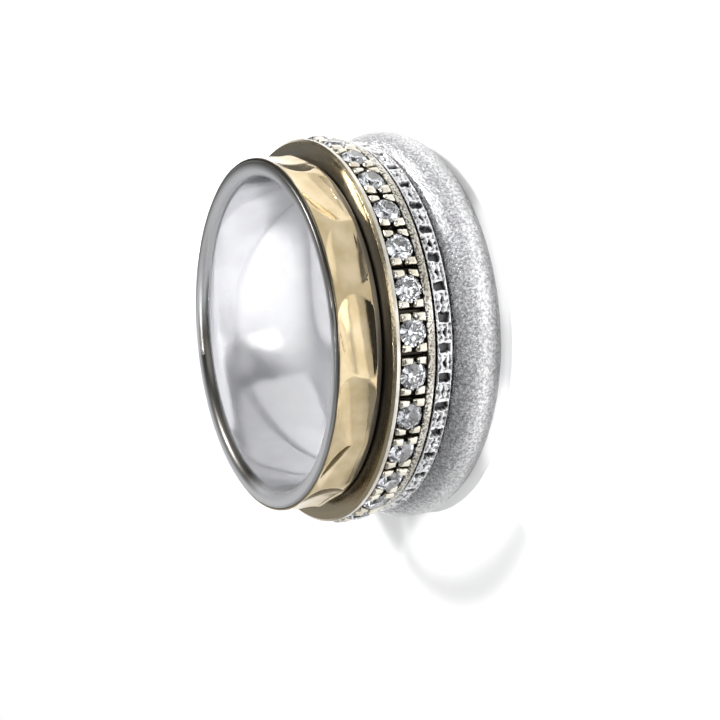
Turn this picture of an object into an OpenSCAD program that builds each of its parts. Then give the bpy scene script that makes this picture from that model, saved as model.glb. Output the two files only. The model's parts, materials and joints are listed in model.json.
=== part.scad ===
// Spinner ring lying on its side: the finger bore runs along Z, the domed
// band rests on the floor at Z = 0 and the hammered band is on top.
// The side of the ring towards -Y is called the front.

/* [Sleeve] */
// Inside diameter of the finger bore
bore_d = 17.2; // [14:0.1:22]
// Thickness of the sleeve between its ends
sleeve_wall = 0.55; // [0.45:0.05:0.9]
// Radius of the rounded edge of the bore at the domed end
bore_round = 0.35; // [0.1:0.05:0.35]
// Radius of the rounded edge of the bore inside the flared rim
face_round = 0.64; // [0.2:0.02:0.66]
// Height of the flared rim above the sleeve
flare_h = 0.4; // [0.36:0.02:0.7]
// Thickness of the flared rim along the finger
flare_w = 0.35; // [0.2:0.05:0.6]
// Radius of the rounded outer edge of the flared rim
flare_round = 0.18; // [0.05:0.01:0.2]
// Height of the shoulder beside the hammered band
shoulder_h = 0.35; // [0.2:0.05:0.45]
// Width of the shoulder along the finger
shoulder_w = 0.32; // [0.2:0.01:1]

/* [Clearances] */
// Gap all round between the sleeve and a band that turns on it
run_gap = 0.05; // [0.03:0.01:0.08]
// Gap between a band that turns and what stands beside it
side_gap = 0.08; // [0.05:0.01:0.15]
// Gap between the two bands that turn
band_gap = 0.16; // [0.05:0.01:0.2]
// Gap between the sleeve and a band that is seated on it
seat_gap = 0.02; // [0.01:0.005:0.04]

/* [Hammered band] */
// Width of the hammered band along the finger
hammered_w = 2.16; // [1.6:0.02:4]
// Thickness of its lip over the flared rim
lip_wall = 0.1; // [0.08:0.01:0.3]
// How far the lip ends below the face of the flared rim
lip_drop = 0.14; // [0:0.01:0.16]
// How much higher its other edge stands than its lip
hammered_rise = 0.1; // [0:0.01:0.2]
// Depth of the hammer marks
dent_depth = 0.2; // [0.1:0.01:0.22]
// How far the hammer marks run out past the other edge
dent_run = 0.05; // [0:0.01:0.2]

/* [Stone band] */
// Height of the rim above the sleeve
stone_band_h = 1.48; // [1.4:0.02:2]
// Width of the polished rim beside the cells
rim_w = 0.37; // [0.2:0.01:0.5]
// Width of the plain rail on the other side of the cells
rail_w = 0.46; // [0.2:0.01:0.5]
// How much lower the rail stands than the rim
rail_drop = 0.04; // [0:0.01:0.1]
// Size of the chamfer on the outer edge of the rim
rim_chamfer = 0.14; // [0.05:0.01:0.15]
// Size of the chamfer on the outer edge of the rail
rail_chamfer = 0.06; // [0.02:0.01:0.12]
// Depth of the cell floor below the rim
cell_depth = 0.3; // [0.15:0.01:0.4]
// Space between a stone and the walls of its cell
cell_side = 0.045; // [0.03:0.005:0.2]
// Diameter of a corner bead
bead_d = 0.48; // [0.3:0.02:0.6]
// Width of the groove between two cells
groove_w = 0.22; // [0.1:0.02:0.3]
// Depth of the groove below the cell floor
groove_depth = 0.12; // [0.05:0.01:0.2]

/* [Stones] */
// Number of stones round the band
stone_count = 30; // [24:1:32]
// Diameter of a stone at its girdle
stone_d = 1.48; // [1:0.02:1.5]
// Height of the rim above the girdle
girdle_drop = 0.1; // [0.05:0.01:0.2]
// Gap round a stone in its seat
stone_gap = 0.025; // [0.01:0.005:0.03]
// Direction of the first stone, in degrees from the front
stone_turn = 8; // [0:1:12]

/* [Textured band] */
// Width of the textured band along the finger
textured_w = 0.92; // [0.8:0.02:2]
// Height of its rims above the sleeve
textured_h = 1.32; // [0.9:0.02:1.6]
// Width of the rims beside the blossoms
textured_rim_w = 0.1; // [0.06:0.01:0.12]
// Number of square wells round the band
well_count = 42; // [36:1:44]
// Length of a well round the band
well_l = 0.44; // [0.3:0.02:0.6]
// Width of the metal on each side of a well along the finger
well_side = 0.14; // [0.1:0.01:0.2]
// Depth of a well
well_depth = 0.3; // [0.15:0.01:0.4]
// Width of the bar between a well and the blossom next to it
bar_w = 0.12; // [0.06:0.01:0.16]
// Depth of the sunk field that holds a blossom
field_depth = 0.16; // [0.05:0.01:0.25]
// Diameter of one lobe of a blossom
lobe_d = 0.38; // [0.25:0.01:0.38]
// Height of a lobe above the rims
lobe_h = 0.03; // [0:0.01:0.1]
// Direction of the first well, in degrees from the front
well_turn = 3; // [0:1:8]

/* [Domed band] */
// Width of the domed band, which is half round
domed_w = 3.16; // [2.4:0.02:5]
// Height of its straight sides above the sleeve
domed_side = 0.27; // [0.15:0.01:0.5]

/* [Hidden] */
// Radii, from the finger outwards
bore_r = bore_d / 2;
sleeve_r = bore_r + sleeve_wall;
flare_r = sleeve_r + flare_h;
seat_r = sleeve_r + seat_gap;
run_r = sleeve_r + run_gap;
flare_seat_r = flare_r + seat_gap;
lip_r = flare_seat_r + lip_wall;
rim_r = sleeve_r + stone_band_h;
rail_r = rim_r - rail_drop;
floor_r = rim_r - cell_depth;
girdle_r = rim_r - girdle_drop;
textured_r = sleeve_r + textured_h;
domed_side_r = sleeve_r + domed_side;

// Widths that follow from what a band holds
cell_w = stone_d + 2 * cell_side;
stone_band_w = rail_w + cell_w + rim_w;
well_w = textured_w - 2 * well_side;
field_w = textured_w - 2 * textured_rim_w;
field_l = 2 * PI * textured_r / well_count - well_l - 2 * bar_w;

// Heights along the finger, from the floor upwards
textured_z = domed_w + side_gap;
stone_band_z = textured_z + textured_w + band_gap;
stone_band_top = stone_band_z + stone_band_w;
shoulder_z = stone_band_top + side_gap;
hammered_z = shoulder_z + shoulder_w + seat_gap;
hammered_top = hammered_z + hammered_w;
ring_w = hammered_top + lip_drop;
cell_low = stone_band_z + rail_w;
cell_high = cell_low + cell_w;
stone_z = (cell_low + cell_high) / 2;

// Hammer marks: direction from the front and twist, in degrees, and depth as a share of dent_depth
DENTS = [
    [8, 3, 1.0], [33, -5, 0.9], [57, 6, 1.05], [82, -2, 0.9], [107, 4, 1.0],
    [130, -6, 0.85], [154, 2, 1.05], [180, -4, 0.95], [203, 6, 1.0], [228, -3, 0.9],
    [252, 5, 1.05], [276, -5, 0.9], [300, 3, 1.0], [322, -4, 0.9], [344, 5, 0.95],
];
// The marks start on the lip, beside the flared rim, and are made by a long round bar
dent_top = ring_w - flare_w + lip_wall / 2;
dent_w = dent_top - hammered_z + dent_run;
dent_z = dent_top - dent_w / 2;
hammer_r = (pow(dent_w / 2, 2) + pow(dent_depth, 2)) / (2 * dent_depth);
hammer_l = lip_r * 0.6;

// Cut of a stone, as shares of its diameter or of its crown and pavilion
table_share = 0.56;
star_share = 0.78;
lower_share = 0.45;
star_height = 0.55;
lower_height = 0.53;
girdle_h = stone_d * 0.03;
crown_h = stone_d * 0.15;
pavilion_h = stone_d * 0.42;
half_facet = 360 / 16;

// A corner bead stands just clear of its stone, on the diagonal that the cell allows
bead_offset_z = cell_w / 2 - bead_d / 3;
bead_reach = (stone_d + bead_d) / 2 + stone_gap;
bead_offset_a = sqrt(pow(bead_reach, 2) - pow(bead_offset_z, 2));
bead_rise = crown_h * 0.75;

// The lobes of a blossom overlap across the band and stand just apart round it
lobe_r = lobe_d / 2;
lobe_spread_z = lobe_r * 0.85;
lobe_spread_a = lobe_r * 1.15;

// Cuts and beads reach this far past the surfaces that they meet
overshoot = cell_depth * 1.5;

function stone_name(i) = str("stone_", i < 9 ? "0" : "", i + 1);
$fn = 96;

// Places children on the side of the ring at an angle from the front, with their Z axis pointing out
module outward(angle, radius, z) {
    rotate([0, 0, angle - 90]) translate([radius, 0, z]) rotate([0, 90, 0]) children();
}

// What is cut from a corner at (x, y) to round it; sx and sy point from the corner into the metal
module edge_round(x, y, r, sx, sy) {
    difference() {
        translate([x - (sx < 0 ? r : 0), y - (sy < 0 ? r : 0)]) square(r);
        translate([x + sx * r, y + sy * r]) circle(r);
    }
}

module inner_sleeve() {
    color("silver") rotate_extrude() difference() {
        union() {
            translate([bore_r, 0]) square([sleeve_wall, ring_w]);
            translate([bore_r, ring_w - flare_w]) square([sleeve_wall + flare_h, flare_w]);
            translate([bore_r, shoulder_z]) square([sleeve_wall + shoulder_h, shoulder_w]);
        }
        edge_round(bore_r, 0, bore_round, 1, 1);
        edge_round(bore_r, ring_w, face_round, 1, -1);
        edge_round(flare_r, ring_w, flare_round, -1, -1);
    }
}

module hammered_band() {
    color("khaki") difference() {
        rotate_extrude() polygon([
            [seat_r, hammered_z],
            [lip_r + hammered_rise, hammered_z],
            [lip_r, hammered_top],
            [flare_seat_r, hammered_top],
            [flare_seat_r, ring_w - flare_w - seat_gap],
            [seat_r, ring_w - flare_w - seat_gap],
        ]);
        for (dent = DENTS) hammer_mark(dent[0], dent[1], dent_depth * dent[2]);
    }
}

module hammer_mark(angle, twist, depth) {
    outward(angle, lip_r - depth + hammer_r, dent_z)
        rotate([90, 0, twist]) cylinder(h = hammer_l, r = hammer_r, center = true);
}

module stone_band() {
    color("wheat") difference() {
        union() {
            rotate_extrude() polygon([
                [run_r, stone_band_z],
                [rail_r - rail_chamfer, stone_band_z],
                [rail_r, stone_band_z + rail_chamfer],
                [rail_r, cell_low],
                [floor_r, cell_low],
                [floor_r, cell_high],
                [rim_r, cell_high],
                [rim_r, stone_band_top - rim_chamfer],
                [rim_r - rim_chamfer, stone_band_top],
                [run_r, stone_band_top],
            ]);
            for (i = [0 : stone_count - 1]) at_cell(i) corner_beads();
        }
        for (i = [0 : stone_count - 1]) {
            at_cell(i) stone_seat();
            at_cell(i + 0.5) cross_groove();
        }
    }
}

module at_cell(i) {
    outward(stone_turn + i * 360 / stone_count, girdle_r, stone_z) children();
}

module corner_beads() {
    for (sa = [-1, 1], sz = [-1, 1])
        translate([sz * bead_offset_z, sa * bead_offset_a, -overshoot])
            cylinder(h = overshoot + bead_rise, d = bead_d, $fn = 24);
}

module stone_seat() {
    seat_top = stone_d / 2 + stone_gap;
    translate([0, 0, -girdle_h / 2]) {
        cylinder(h = overshoot, r = seat_top, $fn = 48);
        mirror([0, 0, 1]) cylinder(h = pavilion_h + stone_gap, r1 = seat_top, r2 = stone_gap * 2, $fn = 48);
    }
}

module cross_groove() {
    translate([-cell_w / 2, -groove_w / 2, floor_r - groove_depth - girdle_r])
        cube([cell_w, groove_w, groove_depth + overshoot]);
}

function ring_points(radius, z, count, turn) =
    [for (i = [0 : count - 1]) [radius * cos(turn + i * 360 / count), radius * sin(turn + i * 360 / count), z]];

// Round brilliant with its girdle at z = 0 and its table pointing along +Z
module brilliant() {
    r = stone_d / 2;
    points = concat(
        ring_points(r * table_share / cos(half_facet), girdle_h / 2 + crown_h, 8, half_facet),
        ring_points(r * star_share, girdle_h / 2 + crown_h * star_height, 8, 0),
        ring_points(r, girdle_h / 2, 16, 0),
        ring_points(r, -girdle_h / 2, 16, 0),
        ring_points(r * lower_share, -girdle_h / 2 - pavilion_h * lower_height, 8, half_facet),
        [[0, 0, -pavilion_h]]
    );
    // Where each ring of points starts in the list
    star = 8;
    upper = 16;
    lower = 32;
    half = 48;
    culet = 56;
    faces = concat(
        [[for (i = [7 : -1 : 0]) i]],
        [for (i = [0 : 7]) [(i + 7) % 8, i, star + i]],
        [for (i = [0 : 7]) each [
            [i, upper + 2 * i + 1, star + i],
            [i, star + (i + 1) % 8, upper + 2 * i + 1],
            [star + i, upper + 2 * i + 1, upper + 2 * i],
            [star + (i + 1) % 8, upper + (2 * i + 2) % 16, upper + 2 * i + 1],
        ]],
        [for (i = [0 : 15]) [upper + i, upper + (i + 1) % 16, lower + (i + 1) % 16, lower + i]],
        [for (i = [0 : 7]) each [
            [lower + 2 * i, lower + 2 * i + 1, half + i],
            [lower + 2 * i + 1, lower + (2 * i + 2) % 16, half + i],
            [lower + 2 * i, half + i, culet],
            [lower + 2 * i, culet, half + (i + 7) % 8],
        ]]
    );
    polyhedron(points = points, faces = faces);
}

module stone(i) {
    color("white") at_cell(i) brilliant();
}

module textured_band() {
    color("gray") union() {
        difference() {
            rotate_extrude() translate([run_r, textured_z]) square([textured_r - run_r, textured_w]);
            for (i = [0 : well_count - 1]) {
                at_unit(i) pocket(well_l, well_w, well_depth);
                at_unit(i + 0.5) pocket(field_l, field_w, field_depth);
            }
        }
        for (i = [0 : well_count - 1]) at_unit(i + 0.5) blossom();
    }
}

module at_unit(i) {
    outward(well_turn + i * 360 / well_count, textured_r, textured_z + textured_w / 2) children();
}

module pocket(length, width, depth) {
    translate([-width / 2, -length / 2, -depth]) cube([width, length, depth + overshoot]);
}

module blossom() {
    for (sa = [-1, 1], sz = [-1, 1])
        translate([sz * lobe_spread_z, sa * lobe_spread_a, lobe_h - lobe_r]) sphere(lobe_r, $fn = 24);
}

module domed_band() {
    color("gainsboro") rotate_extrude() union() {
        translate([seat_r, 0]) square([domed_side_r - seat_r, domed_w]);
        intersection() {
            translate([domed_side_r, domed_w / 2]) circle(d = domed_w);
            translate([domed_side_r, 0]) square([domed_w / 2, domed_w]);
        }
    }
}

inner_sleeve();
hammered_band();
stone_band();
textured_band();
domed_band();
for (i = [0 : stone_count - 1])
    stone(i);
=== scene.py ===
import json
import math

import bpy
import numpy as np
from mathutils import Matrix, Vector


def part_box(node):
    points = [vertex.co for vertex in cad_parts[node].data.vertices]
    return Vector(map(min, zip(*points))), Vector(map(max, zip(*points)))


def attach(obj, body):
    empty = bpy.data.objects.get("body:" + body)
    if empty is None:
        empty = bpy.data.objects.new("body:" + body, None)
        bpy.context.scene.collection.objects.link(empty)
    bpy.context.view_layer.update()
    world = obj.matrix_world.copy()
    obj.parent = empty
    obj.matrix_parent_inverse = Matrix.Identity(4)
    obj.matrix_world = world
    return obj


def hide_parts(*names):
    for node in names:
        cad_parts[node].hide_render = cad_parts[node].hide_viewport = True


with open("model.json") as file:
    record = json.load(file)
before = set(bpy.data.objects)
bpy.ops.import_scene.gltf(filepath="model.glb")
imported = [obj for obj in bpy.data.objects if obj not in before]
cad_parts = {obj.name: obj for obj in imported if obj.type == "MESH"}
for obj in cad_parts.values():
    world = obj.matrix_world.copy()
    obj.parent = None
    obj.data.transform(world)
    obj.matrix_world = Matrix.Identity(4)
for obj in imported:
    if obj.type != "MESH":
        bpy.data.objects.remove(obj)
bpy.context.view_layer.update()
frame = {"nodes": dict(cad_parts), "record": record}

# Sizes are in millimetres and angles in degrees until a mesh is made
MM = 0.001
FULL_TURN = 2 * math.pi


def z_span(node):
    """Lowest and highest point of a node, in millimetres."""
    low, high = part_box(node)
    return low[2] / MM, high[2] / MM


MOUNTS = {m["name"]: m for m in frame["record"]["mounts"]}

# Roundings of edges that are only broken, and the slack in asking where a point lies
EDGE = 0.03
SEAT_EDGE = 0.02
SLACK = 0.01

# Steps of the meshes round the ring
SLEEVE_STEPS = 480
GOLD_STEPS = 1080
DOMED_STEPS = 900
WELL_STEPS = 38

# Sleeve
BORE_R = MOUNTS["finger_bore"]["dims"]["r_mm"]
SLEEVE_R = BORE_R + 0.55
FLARE_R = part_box("inner_sleeve")[1][0] / MM
FLARE_W = 0.35
RING_W = z_span("inner_sleeve")[1]
FLARE_LOW = RING_W - FLARE_W
BORE_ROUND = 0.35
FACE_ROUND = 0.64
FACE_DEPTH = 0.6
FLARE_ROUND = 0.18
FOOT_ROUND = 0.04
SHOULDER_ROUND = 0.06
SHOULDER_R = SLEEVE_R + 0.35
SEAT_R = SLEEVE_R + 0.02
RUN_R = SLEEVE_R + 0.05

# Hammered band
HAMMERED_Z, HAMMERED_TOP = z_span("hammered_band")
LIP_R = FLARE_R + 0.12
LIP_ROUND = 0.035
HAMMERED_RISE = 0.1
HAMMERED_ROUND = 0.07
HAMMERED_SEAT_R = FLARE_R + 0.02
DENT_DEPTH = 0.2
DENT_TOP = RING_W - 0.3
DENT_W = DENT_TOP - HAMMERED_Z + 0.05
DENT_Z = DENT_TOP - DENT_W / 2
DENT_HOLLOW = 0.05
HAMMER_R = ((DENT_W / 2) ** 2 + DENT_DEPTH**2) / (2 * DENT_DEPTH)
# Direction from the front, twist and depth share of each hammer mark
DENTS = [
    (8, 3, 1.0), (33, -5, 0.9), (57, 6, 1.05), (82, -2, 0.9), (107, 4, 1.0),
    (130, -6, 0.85), (154, 2, 1.05), (180, -4, 0.95), (203, 6, 1.0), (228, -3, 0.9),
    (252, 5, 1.05), (276, -5, 0.9), (300, 3, 1.0), (322, -4, 0.9), (344, 5, 0.95),
]

# Stone band
STONES = [f"stone_{i:02d}" for i in range(1, 31)]
STONE_BAND_LOW, STONE_BAND_HIGH = z_span("stone_band")
SHOULDER_LOW = STONE_BAND_HIGH + 0.08
SHOULDER_HIGH = HAMMERED_Z - 0.02
RIM_R = SLEEVE_R + 1.48
RAIL_R = RIM_R - 0.04
FLOOR_R = RIM_R - 0.3
GIRDLE_R = RIM_R - 0.1
RIM_W = 0.37
RAIL_W = 0.46
RIM_CHAMFER = 0.14
RAIL_ROUND = 0.09
CELL_ROUND = 0.05
CELL_LOW = STONE_BAND_LOW + RAIL_W
CELL_HIGH = STONE_BAND_HIGH - RIM_W
CELL_W = CELL_HIGH - CELL_LOW
STONE_Z = (CELL_LOW + CELL_HIGH) / 2
STONE_D = 1.48
STONE_TURN = 8
GROOVE_W = 0.22
GROOVE_DEPTH = 0.16
CELL_ANGLE = FULL_TURN / len(STONES)
CELL_PITCH = FULL_TURN * GIRDLE_R / len(STONES)

# Corner beads
BEAD_POINTS = 32
BEAD_MIDDLE = np.array([0.80, 0.50])
BEAD_NEAR = (0.27, 0.42)
BEAD_CORNER = 8
BEAD_WOBBLE = 0.012
BEAD_APEX = 0.215
# Radius of the stone's cut-out, inset and height above the girdle of each ring of a bead
BEAD_RINGS = [
    (0.77, 0, -0.22), (0.77, 0, 0.02), (0.72, 0.01, 0.08), (0.67, 0.035, 0.13),
    (0.65, 0.075, 0.17), (0.67, 0.12, 0.195), (0.71, 0.165, 0.21),
]

# Textured band
TEXTURED_LOW, TEXTURED_HIGH = z_span("textured_band")
TEXTURED_R = SLEEVE_R + 1.32
WELLS = 42
WELL_TURN = 3
WELL_ANGLE = FULL_TURN / WELLS
WELL_PITCH = FULL_TURN * TEXTURED_R / WELLS
WELL_HALF = (0.16, 0.25)
WELL_ROUND = 0.06
WELL_DEPTH = 0.28
FIELD_HALF = (0.43, 0.36)
FIELD_DEPTH = 0.16
LOBE_R = 0.24
LOBE_SPOT = (0.215, 0.165)
PIT_DEPTH = 0.2
SMALL_PIT_DEPTH = 0.14
SMALL_PIT_SPOT = (0.27, 0.30)

# Domed band
DOMED_W = z_span("domed_band")[1]
DOMED_SIDE_R = SLEEVE_R + 0.27


# Profiles: closed outlines in (radius, height), counter-clockwise, so the outer side runs upwards

def rounded(corners, steps=6):
    """Outline through (radius, height, rounding) corners, each turned into an arc of that rounding."""
    points = []
    for i, (x, y, rounding) in enumerate(corners):
        corner = np.array([x, y])
        back = np.array(corners[i - 1][:2]) - corner
        ahead = np.array(corners[(i + 1) % len(corners)][:2]) - corner
        back /= np.linalg.norm(back)
        ahead /= np.linalg.norm(ahead)
        half = math.acos(np.clip(back @ ahead, -1, 1)) / 2
        centre = corner + (back + ahead) / np.linalg.norm(back + ahead) * rounding / math.sin(half)
        start = corner + back * rounding / math.tan(half) - centre
        end = corner + ahead * rounding / math.tan(half) - centre
        first = math.atan2(start[1], start[0])
        turn = (math.atan2(end[1], end[0]) - first + math.pi) % FULL_TURN - math.pi
        for share in np.linspace(0, 1, steps + 1):
            angle = first + turn * share
            points.append(centre + rounding * np.array([math.cos(angle), math.sin(angle)]))
    return np.array(points)


def divided(points, longest, where=lambda a, b: True):
    """The outline with points added on every side that is longer than longest."""
    out = []
    for a, b in zip(points, np.roll(points, -1, axis=0)):
        count = max(1, math.ceil(np.linalg.norm(b - a) / longest)) if where(a, b) else 1
        out += [a + (b - a) * k / count for k in range(count)]
    return np.array(out)


def swept(outline, count):
    """Directions off the front, radii, heights and shares of a turn of an outline swept round in steps."""
    angle = np.linspace(0, FULL_TURN, count, endpoint=False)[:, None]
    radius = outline[:, 0] + 0 * angle
    height = outline[:, 1] + 0 * angle
    return angle, radius, height, angle / FULL_TURN + 0 * radius


def wavy(turns, rows, around, seed):
    """Smooth noise from -1 to 1 that closes on itself round the ring; rows is in cells of the noise."""
    grid = np.random.default_rng(seed).uniform(-1, 1, (around, int(np.max(rows)) + 3))
    x = (turns % 1.0) * around
    i = np.floor(x).astype(int)
    j = np.floor(rows).astype(int)
    fx = x - i
    fy = rows - j
    fx = fx * fx * (3 - 2 * fx)
    fy = fy * fy * (3 - 2 * fy)
    i %= around
    ahead = (i + 1) % around
    low = grid[i, j] * (1 - fx) + grid[ahead, j] * fx
    high = grid[i, j + 1] * (1 - fx) + grid[ahead, j + 1] * fx
    return low * (1 - fy) + high * fy


def smooth_step(low, high, x):
    """0 below low, 1 above high and smooth between; it falls where low is more than high."""
    t = np.clip((x - low) / (high - low), 0, 1)
    return t * t * (3 - 2 * t)


def off_middle(angle, first, step):
    """Angle from the nearest of the middles that start at first degrees and lie a step apart."""
    return (angle - math.radians(first) + step / 2) % step - step / 2


def place(angle, radius, height):
    """Points of the frame, in metres, from directions off the front, -Y, in radians and millimetres."""
    turn = angle - math.pi / 2
    x, y = radius * np.cos(turn), radius * np.sin(turn)
    return np.stack(np.broadcast_arrays(x, y, height), -1) * MM


# Meshes

def link(name, data):
    obj = bpy.data.objects.new(name, data)
    bpy.context.scene.collection.objects.link(obj)
    return obj


def make_object(name, points, faces, layers, sharp):
    """A mesh object with number layers on its points, smooth below the sharp angle."""
    mesh = bpy.data.meshes.new(name)
    mesh.from_pydata(points.reshape(-1, 3).tolist(), [], faces)
    for layer_name, values in layers.items():
        attribute = mesh.attributes.new(layer_name, "FLOAT", "POINT")
        attribute.data.foreach_set("value", np.ascontiguousarray(values, dtype=np.float32).ravel())
    mesh.shade_smooth()
    mesh.set_sharp_from_angle(angle=math.radians(sharp))
    return link(name, mesh)


def make_band(name, angle, radius, height, layers, sharp=35):
    """A closed band from the points of an outline swept round the ring."""
    turns, steps = radius.shape
    j, k = np.meshgrid(np.arange(turns), np.arange(steps), indexing="ij")
    j2, k2 = (j + 1) % turns, (k + 1) % steps
    quads = np.stack([j * steps + k, j2 * steps + k, j2 * steps + k2, j * steps + k2], -1)
    return make_object(name, place(angle, radius, height), quads.reshape(-1, 4).tolist(), layers, sharp)


def dress(obj, body, node, material):
    obj.data.materials.append(material)
    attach(obj, body)
    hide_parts(node)


# Materials

def new_material(name):
    material = bpy.data.materials.new(name)
    material.use_nodes = True
    nodes, links = material.node_tree.nodes, material.node_tree.links
    return material, nodes, links, nodes["Principled BSDF"]


def noise(nodes, links, scale, detail=2.0, roughness=0.5):
    """A noise whose features are 1 / scale metres across, fixed to the object."""
    coordinates = nodes.new("ShaderNodeTexCoord")
    texture = nodes.new("ShaderNodeTexNoise")
    texture.inputs["Scale"].default_value = scale
    texture.inputs["Detail"].default_value = detail
    texture.inputs["Roughness"].default_value = roughness
    links.new(coordinates.outputs["Object"], texture.inputs["Vector"])
    return texture.outputs["Fac"]


def remap(nodes, links, value, low, high, to_low, to_high):
    node = nodes.new("ShaderNodeMapRange")
    for socket, number in zip(("From Min", "From Max", "To Min", "To Max"), (low, high, to_low, to_high)):
        node.inputs[socket].default_value = number
    links.new(value, node.inputs["Value"])
    return node.outputs["Result"]


def mix_colour(nodes, links, factor, a, b):
    """Colour a where the factor is 0 and b where it is 1; each is a tuple or a socket."""
    node = nodes.new("ShaderNodeMix")
    node.data_type = "RGBA"
    links.new(factor, node.inputs[0])
    for socket, colour in ((6, a), (7, b)):
        if isinstance(colour, tuple):
            node.inputs[socket].default_value = (*colour, 1)
        else:
            links.new(colour, node.inputs[socket])
    return node.outputs[2]


def mix_number(nodes, links, factor, a, b):
    """Number a where the factor is 0 and b where it is 1; each is a float or a socket."""
    node = nodes.new("ShaderNodeMix")
    links.new(factor, node.inputs[0])
    for socket, number in ((2, a), (3, b)):
        if isinstance(number, float):
            node.inputs[socket].default_value = number
        else:
            links.new(number, node.inputs[socket])
    return node.outputs[0]


def bump(nodes, links, height, distance, before=None):
    node = nodes.new("ShaderNodeBump")
    node.inputs["Strength"].default_value = 1.0
    node.inputs["Distance"].default_value = distance
    links.new(height, node.inputs["Height"])
    if before is not None:
        links.new(before, node.inputs["Normal"])
    return node.outputs["Normal"]


def layer(nodes, name):
    node = nodes.new("ShaderNodeAttribute")
    node.attribute_name = name
    return node.outputs["Fac"]


def metal(name, bright, shade, black, rough, black_rough, grain, side=None, satin=None, speckle=None,
          metallic=1.0):
    """A metal whose layer of oxide and painted shade turns it black.

    Bright and shade are mottled into each other, and grain is the scale and depth of the bump. Side gives
    the clean and the black colour of the layer "side", satin the roughness of the layer "satin", and
    speckle the scale of the black specks of the layer "speckle".
    """
    material, nodes, links, shader = new_material(name)
    mottle = remap(nodes, links, noise(nodes, links, 700, detail=3.0), 0.35, 0.65, 0, 1)
    clean = mix_colour(nodes, links, mottle, bright, shade)
    if side:
        share = layer(nodes, "side")
        clean = mix_colour(nodes, links, share, clean, side[0])
        black = mix_colour(nodes, links, share, black, side[1])
    oxide_and_shade = layer(nodes, "oxide_and_shade")
    if speckle:
        specks = noise(nodes, links, speckle, detail=2.0, roughness=0.6)
        specks = remap(nodes, links, specks, 0.46, 0.54, 0, 1)
        specks = mix_number(nodes, links, layer(nodes, "speckle"), 0.0, specks)
        darker = nodes.new("ShaderNodeMath")
        darker.operation = "MAXIMUM"
        links.new(oxide_and_shade, darker.inputs[0])
        links.new(specks, darker.inputs[1])
        oxide_and_shade = darker.outputs[0]
    links.new(mix_colour(nodes, links, oxide_and_shade, clean, black), shader.inputs["Base Color"])
    wear = remap(nodes, links, noise(nodes, links, 5000, detail=4.0, roughness=0.65), 0.3, 0.7, *rough)
    if satin:
        wear = mix_number(nodes, links, layer(nodes, "satin"), wear, satin)
    links.new(mix_number(nodes, links, oxide_and_shade, wear, black_rough), shader.inputs["Roughness"])
    shader.inputs["Metallic"].default_value = metallic
    scale, distance = grain
    relief = noise(nodes, links, scale, detail=3.0, roughness=0.6)
    links.new(bump(nodes, links, relief, distance), shader.inputs["Normal"])
    return material


def sleeve_material():
    return metal("polished_silver", bright=(0.81, 0.81, 0.82), shade=(0.76, 0.76, 0.78),
                 black=(0.34, 0.31, 0.26), rough=(0.05, 0.12), black_rough=0.3, grain=(9000, 0.0000015),
                 side=((0.80, 0.80, 0.81), (0.045, 0.04, 0.032)), satin=0.28, metallic=0.85)


def hammered_material():
    return metal("hammered_gold", bright=(0.57, 0.47, 0.31), shade=(0.44, 0.35, 0.205),
                 black=(0.05, 0.045, 0.035), rough=(0.06, 0.14), black_rough=0.4, grain=(2500, 0.000004))


def setting_material():
    return metal("setting_gold", bright=(0.62, 0.60, 0.54), shade=(0.46, 0.43, 0.37),
                 black=(0.035, 0.031, 0.025), rough=(0.10, 0.28), black_rough=0.35,
                 grain=(9000, 0.000012), side=((0.47, 0.39, 0.25), (0.23, 0.21, 0.17)), speckle=9000)


def bead_material():
    return metal("bead_gold", bright=(0.76, 0.73, 0.65), shade=(0.60, 0.55, 0.45),
                 black=(0.035, 0.031, 0.025), rough=(0.10, 0.25), black_rough=0.35, grain=(5000, 0.00002))


def textured_material():
    return metal("textured_silver", bright=(0.74, 0.74, 0.74), shade=(0.54, 0.54, 0.55),
                 black=(0.10, 0.10, 0.10), rough=(0.14, 0.34), black_rough=0.45, grain=(9000, 0.00002))


def domed_material():
    bright, shade, black = (0.73, 0.73, 0.73), (0.32, 0.32, 0.33), (0.03, 0.03, 0.03)
    material, nodes, links, shader = new_material("frosted_silver")
    mottle = remap(nodes, links, noise(nodes, links, 6500, detail=3.0, roughness=0.75), 0.40, 0.60, 0, 1)
    clean = mix_colour(nodes, links, mottle, bright, shade)
    links.new(mix_colour(nodes, links, layer(nodes, "oxide_and_shade"), clean, black), shader.inputs["Base Color"])
    frost = remap(nodes, links, noise(nodes, links, 14000, detail=3.0), 0.3, 0.7, 0.18, 0.32)
    links.new(frost, shader.inputs["Roughness"])
    coarse = bump(nodes, links, noise(nodes, links, 4500, detail=4.0, roughness=0.75), 0.00007)
    relief = noise(nodes, links, 16000, detail=2.0, roughness=0.6)
    links.new(bump(nodes, links, relief, 0.000015, before=coarse), shader.inputs["Normal"])
    shader.inputs["Metallic"].default_value = 1.0
    return material


def stone_material():
    """A clear stone whose tint clouds over a few millimetres, so that the stones differ a little."""
    material, nodes, links, shader = new_material("clear_stone")
    cloud = remap(nodes, links, noise(nodes, links, 450, detail=1.0), 0.38, 0.62, 0, 1)
    tint = mix_colour(nodes, links, cloud, (0.86, 0.87, 0.90), (0.72, 0.74, 0.78))
    links.new(tint, shader.inputs["Base Color"])
    shader.inputs["Roughness"].default_value = 0.0
    shader.inputs["IOR"].default_value = 2.3
    shader.inputs["Transmission Weight"].default_value = 1.0
    return material


def floor_material():
    material, nodes, links, shader = new_material("pale_floor")
    cloud = remap(nodes, links, noise(nodes, links, 30, detail=2.0), 0.3, 0.7, 0, 1)
    tone = mix_colour(nodes, links, cloud, (0.90, 0.90, 0.90), (0.88, 0.88, 0.88))
    links.new(tone, shader.inputs["Base Color"])
    shader.inputs["Roughness"].default_value = 0.6
    return material


# Pieces

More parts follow.
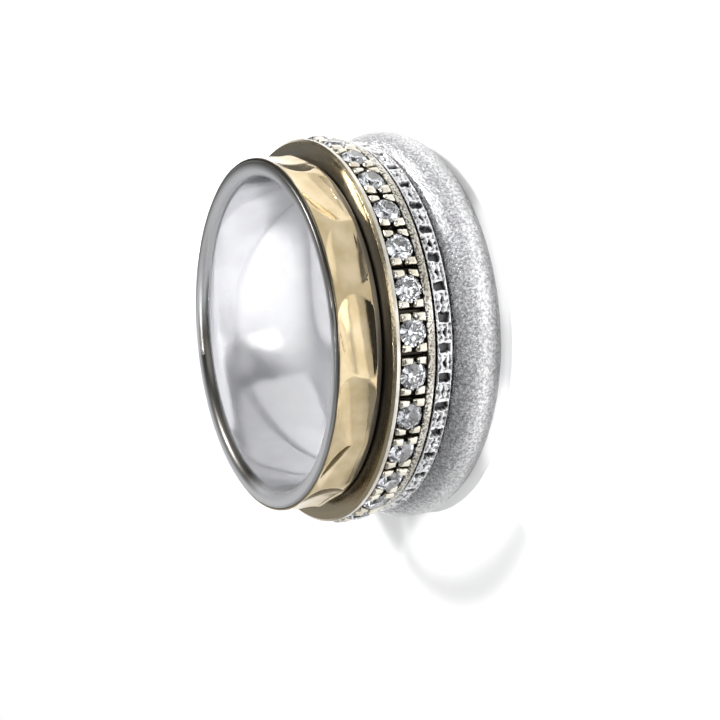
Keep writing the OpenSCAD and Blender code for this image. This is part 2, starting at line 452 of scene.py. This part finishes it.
def make_sleeve():
    outline = rounded([
        (SLEEVE_R, 0, FOOT_ROUND),
        (SLEEVE_R, SHOULDER_LOW, EDGE),
        (SHOULDER_R, SHOULDER_LOW, SHOULDER_ROUND),
        (SHOULDER_R, SHOULDER_HIGH, SHOULDER_ROUND),
        (SLEEVE_R, SHOULDER_HIGH, EDGE),
        (SLEEVE_R, FLARE_LOW, EDGE),
        (FLARE_R, FLARE_LOW, EDGE),
        (FLARE_R, RING_W, FLARE_ROUND),
        (BORE_R, RING_W, FACE_ROUND),
        (BORE_R, 0, BORE_ROUND),
    ], steps=12)
    outline = divided(outline, longest=0.025, where=lambda a, b: min(a[1], b[1]) > RING_W - SLACK)
    outline = divided(outline, longest=0.8)
    angle, radius, height, turns = swept(outline, SLEEVE_STEPS)
    # Outer edge of the face: tarnish all round, plus a painted dark reflection strongest at the top of the
    # picture
    upper = smooth_step(-0.5, 0.5, np.sin(angle))
    tarnish_and_shade = (0.4 + 0.58 * upper) * smooth_step(FLARE_R - (0.2 + 0.54 * upper), FLARE_R, radius)
    # The inner edge carries a painted dark reflection at the far lower side of the bore
    far = smooth_step(0.64, 0.85, np.cos(angle - math.radians(222)))
    inner = smooth_step(BORE_R, BORE_R + 0.03, radius) * smooth_step(BORE_R + 0.6, BORE_R + 0.3, radius)
    on_face = height > RING_W - FACE_DEPTH
    tarnish_and_shade = np.maximum(tarnish_and_shade, 0.96 * far * inner) * on_face
    # Painted shade: the sleeve's outside under the bands, the shoulder deep in the channel too, is dark
    outside = (radius > SLEEVE_R - SLACK) & (height < FLARE_LOW + SLACK)
    satin = smooth_step(RING_W - FACE_DEPTH, RING_W - 0.2, height)
    scratches = 0.0006 * np.abs(wavy(turns, (radius - (BORE_R - 0.1)) / 0.04, around=7, seed=9))
    height = height - scratches * (height > RING_W - 0.02)
    obj = make_band("sleeve_silver", angle, radius, height,
                    {"oxide_and_shade": np.maximum(outside, tarnish_and_shade), "satin": satin, "side": on_face})
    dress(obj, "sleeve", "inner_sleeve", sleeve_material())


def hammered_surface(angle, height):
    """Radius that the hammer marks leave, for directions and heights of the same shape."""
    least = np.zeros(np.broadcast_shapes(angle.shape, height.shape))
    blend, widest = 0.013, 0.7
    for turn, twist, share in DENTS:
        off = np.clip(off_middle(angle, turn, FULL_TURN), -widest, widest)
        axis_r = LIP_R - DENT_DEPTH * share + HAMMER_R
        tangent = LIP_R * np.tan(off)
        lean = math.radians(2 * twist)
        across = (height - DENT_Z) * math.cos(lean) - tangent * math.sin(lean)
        across = np.clip(across, -HAMMER_R, HAMMER_R)
        radius = (axis_r - np.sqrt(HAMMER_R**2 - across**2)) / np.cos(off)
        radius -= DENT_HOLLOW * (1 - np.minimum((tangent / 2) ** 2, 2))
        least += np.exp(-(radius - LIP_R) / blend)
    return LIP_R - blend * np.log(least)


def make_hammered_band():
    top_seat = FLARE_LOW - 0.02
    outline = rounded([
        (LIP_R + HAMMERED_RISE, HAMMERED_Z, HAMMERED_ROUND),
        (LIP_R, HAMMERED_TOP, LIP_ROUND),
        (HAMMERED_SEAT_R, HAMMERED_TOP, 0.01),
        (HAMMERED_SEAT_R, top_seat, SEAT_EDGE),
        (SEAT_R, top_seat, SEAT_EDGE),
        (SEAT_R, HAMMERED_Z, SEAT_EDGE),
    ])
    outline = divided(outline, longest=0.045, where=lambda a, b: min(a[0], b[0]) > LIP_R - 0.06)
    angle, radius, height, turns = swept(outline, GOLD_STEPS)
    outside = radius > FLARE_R + 0.03
    beaten = hammered_surface(angle + 0 * radius, height)
    beaten = beaten + 0.008 * wavy(turns, (height - HAMMERED_Z) / 0.8 + 0.5, around=70, seed=5)
    # The marks meet the band's own surface in an edge that is blended a little
    blend = 0.01
    low = -blend * np.log(np.exp(-(beaten - LIP_R) / blend) + np.exp(-(radius - LIP_R) / blend)) + LIP_R
    radius = np.where(outside, np.minimum(low, radius), radius)
    uneven = 0.04 * (1 + wavy(turns, 0 * turns, around=34, seed=8))
    height = height + np.where(height < HAMMERED_Z + 0.2, uneven, 0)
    # Painted dark reflection along the top edge beside the face, strongest at the top of the picture
    upper = smooth_step(-0.1, 0.5, np.sin(angle))
    oxide_and_shade = 0.95 * upper * smooth_step(HAMMERED_TOP - 0.13, HAMMERED_TOP - 0.05, height)
    obj = make_band("hammered_gold", angle, radius, height, {"oxide_and_shade": oxide_and_shade})
    dress(obj, "sleeve", "hammered_band", hammered_material())


def bead_outline(arc_r, inset):
    """Outline of a corner bead off its middle: a corner of the cell with the stone's arc cut out."""
    far_a = CELL_PITCH / 2 - GROOVE_W / 2 + 0.01 - BEAD_MIDDLE[0] - inset
    far_z = CELL_W / 2 - 0.05 - BEAD_MIDDLE[1] - inset
    angle = np.linspace(0, FULL_TURN, BEAD_POINTS, endpoint=False)
    c, s = np.cos(angle), np.sin(angle)
    limits = []
    for part, far, near in ((c, far_a, BEAD_NEAR[0]), (s, far_z, BEAD_NEAR[1])):
        size = np.maximum(np.abs(part), 1e-3)
        limits.append(np.where(part > 0, far / size, (near - inset) / size))
    along = BEAD_MIDDLE[0] * c + BEAD_MIDDLE[1] * s
    inside = along**2 - (BEAD_MIDDLE @ BEAD_MIDDLE - arc_r**2)
    unreached = 9.0
    to_arc = -along - np.sqrt(np.maximum(inside, 0))
    limits.append(np.where((inside > 0) & (along < 0), to_arc, unreached))
    length = sum(limit ** -BEAD_CORNER for limit in limits) ** (-1 / BEAD_CORNER)
    return np.stack([length * c, length * s], -1)


def bead_faces(start, flip):
    """Faces of a bead: its sides ring by ring, its top and its foot, turned over where flip is true."""
    count = BEAD_POINTS
    faces = []
    for ring in range(len(BEAD_RINGS) - 1):
        low, high = start + ring * count, start + (ring + 1) * count
        for k in range(count):
            k2 = (k + 1) % count
            faces.append([low + k, low + k2, high + k2, high + k])
    top = start + (len(BEAD_RINGS) - 1) * count
    faces += [[top + k, top + (k + 1) % count, top + count] for k in range(count)]
    faces.append([start + k for k in reversed(range(count))])
    return [face[::-1] for face in faces] if flip else faces


def make_beads():
    """The corner beads of the stones, four to a cell."""
    shapes = [(bead_outline(arc_r, inset), rise) for arc_r, inset, rise in BEAD_RINGS]
    shapes.append((shapes[-1][0].mean(0)[None], BEAD_APEX))
    rng = np.random.default_rng(11)
    points, faces, oxide_and_shade = [], [], []
    for cell in range(len(STONES)):
        cell_turn = math.radians(STONE_TURN + cell * 360 / len(STONES))
        for sa, sz in ((1, 1), (-1, 1), (-1, -1), (1, -1)):
            size = rng.uniform(0.90, 1.03)
            lift = rng.uniform(-0.025, 0.015)
            lean = rng.uniform(-0.16, 0.16, 2)
            faces += bead_faces(len(points), sa * sz < 0)
            for shape, rise in shapes:
                worn = rise > 0.03
                flat = shape * size + rng.uniform(-BEAD_WOBBLE, BEAD_WOBBLE, shape.shape) * worn
                a = sa * (BEAD_MIDDLE[0] + flat[:, 0])
                z = STONE_Z + sz * (BEAD_MIDDLE[1] + flat[:, 1])
                radius = GIRDLE_R + rise + (lift + flat @ lean) * worn
                points += list(place(cell_turn + a / GIRDLE_R, radius, z))
                oxide_and_shade += [float(rise < 0)] * len(flat)
    obj = make_object("corner_beads", np.array(points), faces, {"oxide_and_shade": np.array(oxide_and_shade)}, sharp=50)
    dress(obj, "stone_band", "stone_band", bead_material())


def make_stone_band():
    outline = rounded([
        (RAIL_R, STONE_BAND_LOW, RAIL_ROUND),
        (RAIL_R, CELL_LOW, CELL_ROUND),
        (FLOOR_R, CELL_LOW, EDGE),
        (FLOOR_R, CELL_HIGH, EDGE),
        (RIM_R, CELL_HIGH, CELL_ROUND),
        (RIM_R, STONE_BAND_HIGH - RIM_CHAMFER, 0.04),
        (RIM_R - RIM_CHAMFER, STONE_BAND_HIGH, EDGE),
        (RUN_R, STONE_BAND_HIGH, EDGE),
        (RUN_R, STONE_BAND_LOW, EDGE),
    ], steps=5)

    def on_floor(a, b):
        return max(a[0], b[0]) < FLOOR_R + SLACK and min(a[0], b[0]) > RUN_R + 0.1

    outline = divided(outline, longest=0.07, where=on_floor)
    outline = divided(outline, longest=0.12, where=lambda a, b: min(a[1], b[1]) > STONE_BAND_HIGH - SLACK)
    outline = divided(outline, longest=0.5)
    angle, radius, height, turns = swept(outline, GOLD_STEPS)
    # The cross grooves and the stones' seats are sunk into the floor of the cells
    in_cell = (height > CELL_LOW + 0.04) & (height < CELL_HIGH - 0.04)
    in_cell &= (radius < FLOOR_R + 0.02) & (radius > RUN_R + 0.3)
    off = off_middle(angle, STONE_TURN, CELL_ANGLE) * GIRDLE_R
    to_groove = CELL_PITCH / 2 - np.abs(off)
    groove = GROOVE_DEPTH * smooth_step(GROOVE_W / 2 + 0.04, GROOVE_W / 2 - 0.03, to_groove)
    seat = np.clip((STONE_D / 2 - np.hypot(off, height - STONE_Z)) * 0.85, 0, 0.6)
    sunk = np.where(in_cell, np.maximum(groove, seat), 0)
    # Painted shade on the side towards the hammered band: darkest deep in the channel, lightest low in the
    # picture
    level = 0.8 * smooth_step(-0.85, 0.1, np.sin(angle))
    deep = smooth_step(RIM_R - 0.48, RIM_R - 0.68, radius)
    side_shade = np.minimum(level + (0.25 + level - 0.35 * level**2) * deep, 0.95)
    side_shade = side_shade * smooth_step(RIM_R - 0.15, RIM_R - 0.27, radius)
    side = height > STONE_BAND_HIGH - 0.02
    dark = np.where(side, side_shade, radius < RAIL_R - 0.06)
    streaks = np.abs(0.004 * wavy(turns, (radius - (SLEEVE_R - 0.15)) / 0.07, around=24, seed=4))
    height = height - np.where(side & (radius < RIM_R - 0.16), streaks, 0)
    rail = (height < CELL_LOW + 0.02) & (radius > RAIL_R - 0.08)
    radius = radius - sunk - np.where(rail, 0.008 * (1 + wavy(turns, 0 * turns, around=260, seed=3)), 0)
    tan = smooth_step(STONE_BAND_HIGH - 0.15, STONE_BAND_HIGH - 0.12, height)
    specks = rail * (0.5 + 0.5 * smooth_step(RAIL_W * 0.55, RAIL_W, height - STONE_BAND_LOW))
    obj = make_band("stone_setting", angle, radius, height,
                    {"oxide_and_shade": dark, "side": tan, "speckle": specks}, sharp=50)
    dress(obj, "stone_band", "stone_band", setting_material())


def textured_relief(angle, height, turns):
    """Depth below the rims of the textured band, in millimetres, at directions and heights."""
    z = height - (TEXTURED_LOW + TEXTURED_HIGH) / 2
    rows = (z + 0.6) / 0.14
    wobble_a = 0.065 * wavy(turns, rows, around=300, seed=21)
    wobble_z = 0.065 * wavy(turns, rows, around=300, seed=22)
    off = off_middle(angle, WELL_TURN, WELL_ANGLE) * TEXTURED_R
    a, b = np.abs(off + wobble_a), np.abs(z + wobble_z)
    # The wells are rounded rectangles
    past_a, past_b = a - WELL_HALF[0], b - WELL_HALF[1]
    well = np.hypot(np.maximum(past_a, 0), np.maximum(past_b, 0))
    well = well + np.minimum(np.maximum(past_a, past_b), 0) - WELL_ROUND
    well_depth = WELL_DEPTH * smooth_step(0.03, -0.04, well)
    # The blossoms stand in sunk fields between the wells, with four lobes each
    bloom = WELL_PITCH / 2 - np.abs(off) + wobble_a
    field = np.maximum(np.abs(bloom) - FIELD_HALF[0], b - FIELD_HALF[1])
    field_depth = FIELD_DEPTH * smooth_step(0.03, -0.05, field)
    lobes = np.zeros_like(well_depth)
    for sa in (-1, 1):
        to_lobe = np.hypot(bloom - sa * LOBE_SPOT[0], b - LOBE_SPOT[1])
        lobes = np.maximum(lobes, np.sqrt(np.clip(1 - (to_lobe / LOBE_R) ** 2, 0, 1)))
    # A pit lies in the middle of a blossom, and small ones of chance depth at its corners
    pits = PIT_DEPTH * smooth_step(0.10, 0.04, np.hypot((bloom + 0.8 * z) * 0.42, z + wobble_z))
    share = np.random.default_rng(51).uniform(0, 1, (WELLS, 2, 2))
    which = np.floor((angle - math.radians(WELL_TURN)) / WELL_ANGLE).astype(int) % WELLS
    half = (z > 0).astype(int)
    for k, sa in enumerate((-1, 1)):
        to_pit = np.hypot(bloom - sa * SMALL_PIT_SPOT[0] - wobble_z, b - SMALL_PIT_SPOT[1] + wobble_a)
        small = SMALL_PIT_DEPTH * share[which, half, k] * smooth_step(0.11, 0.03, to_pit)
        pits = np.maximum(pits, small)
    return np.maximum(well_depth, np.where(well < 0.03, 0, field_depth * (1 - lobes) + pits))


def make_textured_band():
    outline = rounded([
        (TEXTURED_R, TEXTURED_LOW, RAIL_ROUND),
        (TEXTURED_R, TEXTURED_HIGH, RAIL_ROUND),
        (RUN_R, TEXTURED_HIGH, EDGE),
        (RUN_R, TEXTURED_LOW, EDGE),
    ])
    outline = divided(outline, longest=0.028, where=lambda a, b: min(a[0], b[0]) > TEXTURED_R - 0.02)
    outline = divided(outline, longest=0.3)
    angle, radius, height, turns = swept(outline, WELLS * WELL_STEPS)
    outer = smooth_step(TEXTURED_R - 0.12, TEXTURED_R - 0.02, radius)
    depth = outer * textured_relief(angle, height, turns)
    rough = 0.012 * wavy(turns, (height - TEXTURED_LOW) / 0.1 + 0.5, around=620, seed=31) * outer
    inner = 1 - smooth_step(TEXTURED_R - 0.3, TEXTURED_R - 0.1, radius)
    oxide_and_shade = np.maximum(smooth_step(0.04, 0.13, depth), inner)
    radius = radius - depth - np.abs(rough)
    obj = make_band("textured_silver", angle, radius, height, {"oxide_and_shade": oxide_and_shade}, sharp=60)
    dress(obj, "textured_band", "textured_band", textured_material())


def make_domed_band():
    half = DOMED_W / 2
    corner_r = DOMED_SIDE_R - 0.02
    bow = [(DOMED_SIDE_R + half * math.cos(a), half + half * math.sin(a))
           for a in np.linspace(-1.5, 1.5, 61)]
    outline = np.array([(SEAT_R, 0.0), (corner_r, 0.0), *bow, (corner_r, DOMED_W), (SEAT_R, DOMED_W)])
    angle, radius, height, turns = swept(outline, DOMED_STEPS)
    bowed = smooth_step(DOMED_SIDE_R + 0.1, DOMED_SIDE_R + 0.5, radius)
    grain = 0.010 * wavy(turns, height / 0.13 + 0.5, around=520, seed=41)
    grain = grain + 0.006 * wavy(turns, height / 0.08 + 0.5, around=800, seed=42)
    # Black lies against the textured band, and painted shade darkens the lower part, towards the floor
    jagged = height + 0.05 * wavy(turns, height / 0.2 + 0.5, around=300, seed=43)
    oxide_and_shade = smooth_step(DOMED_W - 0.20, DOMED_W - 0.10, jagged)
    oxide_and_shade = np.maximum(oxide_and_shade, 0.5 * smooth_step(1.8, 0.8, jagged))
    radius = radius - bowed * np.abs(grain)
    obj = make_band("domed_silver", angle, radius, height, {"oxide_and_shade": oxide_and_shade}, sharp=40)
    dress(obj, "sleeve", "domed_band", domed_material())


def dress_stones():
    material = stone_material()
    for name in STONES:
        mesh = frame["nodes"][name].data
        mesh.materials.clear()
        mesh.materials.append(material)


# Camera, floor and light

FLOOR_TONE = 0.9
LAMP_R = 0.2
KEY_SPOT = (207, 137, 313)
KEY_SIZE = 80
KEY_POWER = 1.8

# Centre, radii, turn, brightness, softness of the edge and lean from the vertical of each pool of light
POOLS = {
    "backdrop": ((20.0, 18.6), (25, 25), 0, 0.5, 0.003, 0),
    "bore_high": ((-22.4, -8.6), (25.4, 25.4), 0, 0.1, 0.1, 0),
    "bore_low": ((7.4, -9.3), (5, 5), 0, 0.5, 0.2, 0),
    "shadow": ((-12.3, -8.1), (5.6, 12), 33, 0.4, 0.4, 0),
    "shadow_front": ((-1.5, -13.6), (8, 4), 0, 0.55, 0.3, 0),
    "shadow_back": ((-12.8, 2.8), (3.5, 3.5), 0, 0.3, 0.5, 0),
    "under_dome_front": ((0.9, -10.4), (9, 1.2), 5, 1.4, 0.3, 75),
    "under_dome_low": ((-8.0, -6.7), (9, 1.2), -50, 1.15, 0.3, 75),
    "under_dome_high": ((8.0, -6.7), (9, 1.2), 50, 0.6, 0.3, 75),
    "window": ((1.35, -3.9), (1.05, 3.3), 11.8, 0.9, 0.3, 0),
    "gold_glint": ((4.0, -17.0), (1.7, 2.8), 0, 2.0, 0.05, 0),
    "gold_front": ((-2.0, -28.0), (12, 10), 0, 0.8, 0.5, 0),
}

# Direction, inner angle, outer angle and brightness of each patch of the studio sky; a later one covers
SKY = [
    ((-1, 0, 0), 75, 95, 0.46),
    ((0, 0, 1), 30, 42, 0.08),
    ((0, -1, 0.05), 28, 45, 0.06),
    ((0.38, -0.73, 0.57), 13, 19, 2.9),
    ((0.28, -0.5, 0.82), 8, 12, 3.0),
    ((0.93, 0, 0.36), 19, 30, 1.1),
]
DARK_SKY = 0.2
SKY_COLOUR = (0.97, 0.98, 1.0)


def make_camera():
    """The camera looks down at the ring on the floor, rolled so that the bore runs across the picture."""
    turn, drop, roll = (math.radians(a) for a in (27.43, 10.77, 0.15))
    away, aside, above = 82.4, -5.59, 1.35
    along = math.cos(drop)
    view = Vector((-math.sin(drop), math.cos(turn) * along, -math.sin(turn) * along))
    right = Vector((0, -math.sin(turn), -math.cos(turn)))
    up = right.cross(view)
    c, s = math.cos(roll), math.sin(roll)
    right, up = right * c + up * s, up * c - right * s
    data = bpy.data.cameras.new("camera")
    data.sensor_width = 36
    data.lens = 74.97
    data.clip_start, data.clip_end = 0.001, 10
    camera = link("camera", data)
    spot = Vector((0, 0, RING_W)) - right * aside - up * above - view * away
    camera.matrix_world = Matrix.Translation(spot * MM) @ Matrix((right, up, -view)).transposed().to_4x4()
    bpy.context.scene.camera = camera


def make_floor():
    half = 2.0
    corners = [(-half, -half, 0), (half, -half, 0), (half, half, 0), (-half, half, 0)]
    mesh = bpy.data.meshes.new("floor")
    mesh.from_pydata(corners, [], [(0, 1, 2, 3)])
    mesh.materials.append(floor_material())
    link("floor", mesh)


def make_key():
    data = bpy.data.lights.new("key", "AREA")
    data.shape = "SQUARE"
    data.size = KEY_SIZE * MM
    data.energy = KEY_POWER
    light = link("key", data)
    light.location = Vector(KEY_SPOT) * MM
    light.rotation_mode = "QUATERNION"
    light.rotation_quaternion = (-Vector(KEY_SPOT)).to_track_quat("-Z", "Y")


def make_pool(name, spot, radii, turn, glow, blend, lean):
    """An oval pool of light on the floor; glow is the brightness that it adds if it comes from above."""
    data = bpy.data.lights.new(name, "SPOT")
    radius = max(radii)
    height = max(200, 20 * radius)
    data.energy = glow * 4 * (math.pi * height * MM) ** 2 / FLOOR_TONE
    data.spot_size = 2 * math.atan(radius / height)
    data.spot_blend = blend
    data.shadow_soft_size = LAMP_R * MM
    light = link(name, data)
    light.rotation_euler = (math.radians(lean), 0, math.radians(turn))
    up = light.rotation_euler.to_matrix() @ Vector((0, 0, height))
    light.location = (Vector((*spot, 0)) + up) * MM
    light.scale = (radii[0] / radius, radii[1] / radius, 1)


def patch(nodes, links, direction, towards, inner, outer):
    """A soft round patch of the sky: 1 inside the inner angle and 0 outside the outer angle."""
    product = nodes.new("ShaderNodeVectorMath")
    product.operation = "DOT_PRODUCT"
    links.new(direction, product.inputs[0])
    product.inputs[1].default_value = Vector(towards).normalized()
    low, high = math.cos(math.radians(outer)), math.cos(math.radians(inner))
    return remap(nodes, links, product.outputs["Value"], low, high, 0, 1)


def make_world():
    world = bpy.data.worlds.new("studio")
    bpy.context.scene.world = world
    world.use_nodes = True
    nodes, links = world.node_tree.nodes, world.node_tree.links
    direction = nodes.new("ShaderNodeTexCoord").outputs["Generated"]
    strength = DARK_SKY
    for towards, inner, outer, brightness in SKY:
        share = patch(nodes, links, direction, towards, inner, outer)
        strength = mix_number(nodes, links, share, strength, brightness)
    background = nodes["Background"]
    background.inputs["Color"].default_value = (*SKY_COLOUR, 1)
    links.new(strength, background.inputs["Strength"])


make_camera()
make_sleeve()
make_hammered_band()
make_stone_band()
make_beads()
make_textured_band()
make_domed_band()
dress_stones()
make_floor()
make_key()
for pool, settings in POOLS.items():
    make_pool(pool, *settings)
make_world()
bpy.context.scene.view_settings.view_transform = "Standard"
